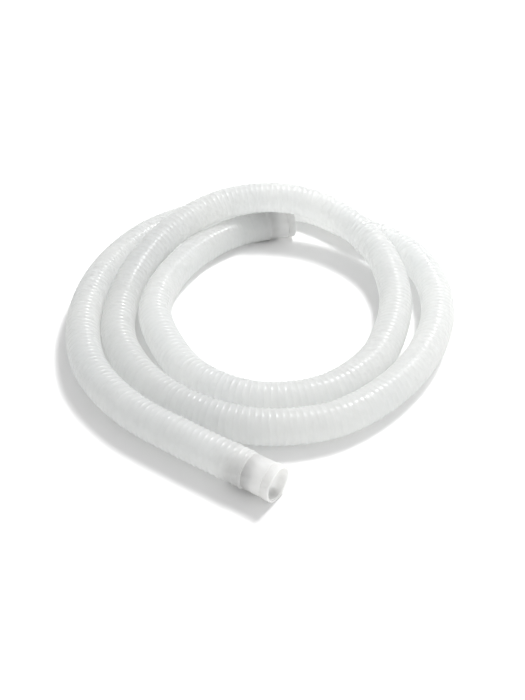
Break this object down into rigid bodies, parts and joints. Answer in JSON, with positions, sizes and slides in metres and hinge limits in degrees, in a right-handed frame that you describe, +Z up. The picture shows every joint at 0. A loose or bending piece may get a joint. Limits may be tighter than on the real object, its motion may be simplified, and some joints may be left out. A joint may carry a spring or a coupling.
{
  "type": "pool vacuum hose",
  "caption": "Ribbed translucent white vacuum hose lying in a flat spiral coil, with a smooth swivel cuff at each end.",
  "frame": {"origin": "centre of the coil's outline, on the floor it lies on", "axes": "+Z up, +Y away from the outer cuff towards the far side of the coil, +X to the right as the outer cuff is seen in front"},
  "size_m": [0.452, 0.5635, 0.0785],
  "materials": {
    "hose_plastic": "satin translucent",
    "cuff_plastic": "satin",
    "ferrule_plastic": "matte",
    "seal_rubber": "matte",
    "snap_plastic": "matte"
  },
  "bodies": {
    "hose": {"hose_outer_end": "hose_plastic", "hose_outer_turn": "hose_plastic", "hose_middle_turn": "hose_plastic", "hose_inner_turn": "hose_plastic", "hose_inner_lead": "hose_plastic", "hose_inner_end": "hose_plastic", "outer_ferrule": "ferrule_plastic", "outer_seal_ring": "seal_rubber", "outer_snap_ring": "snap_plastic", "inner_ferrule": "ferrule_plastic", "inner_seal_ring": "seal_rubber", "inner_snap_ring": "snap_plastic"},
    "outer_swivel": {"outer_cuff": "cuff_plastic", "outer_mouth_ring": "cuff_plastic"},
    "inner_swivel": {"inner_cuff": "cuff_plastic", "inner_mouth_ring": "cuff_plastic"}
  },
  "joints": [
    {"name": "outer_cuff_turn", "type": "hinge", "parent": "hose", "child": "outer_swivel", "pos_m": [-0.01306, -0.24755, 0.0195], "axis": [0.8298, -0.5581, 0], "continuous": true},
    {"name": "inner_cuff_turn", "type": "hinge", "parent": "hose", "child": "inner_swivel", "pos_m": [0.00631, 0.21143, 0.0195], "axis": [0.9618, 0.2737, 0], "continuous": true}
  ]
}
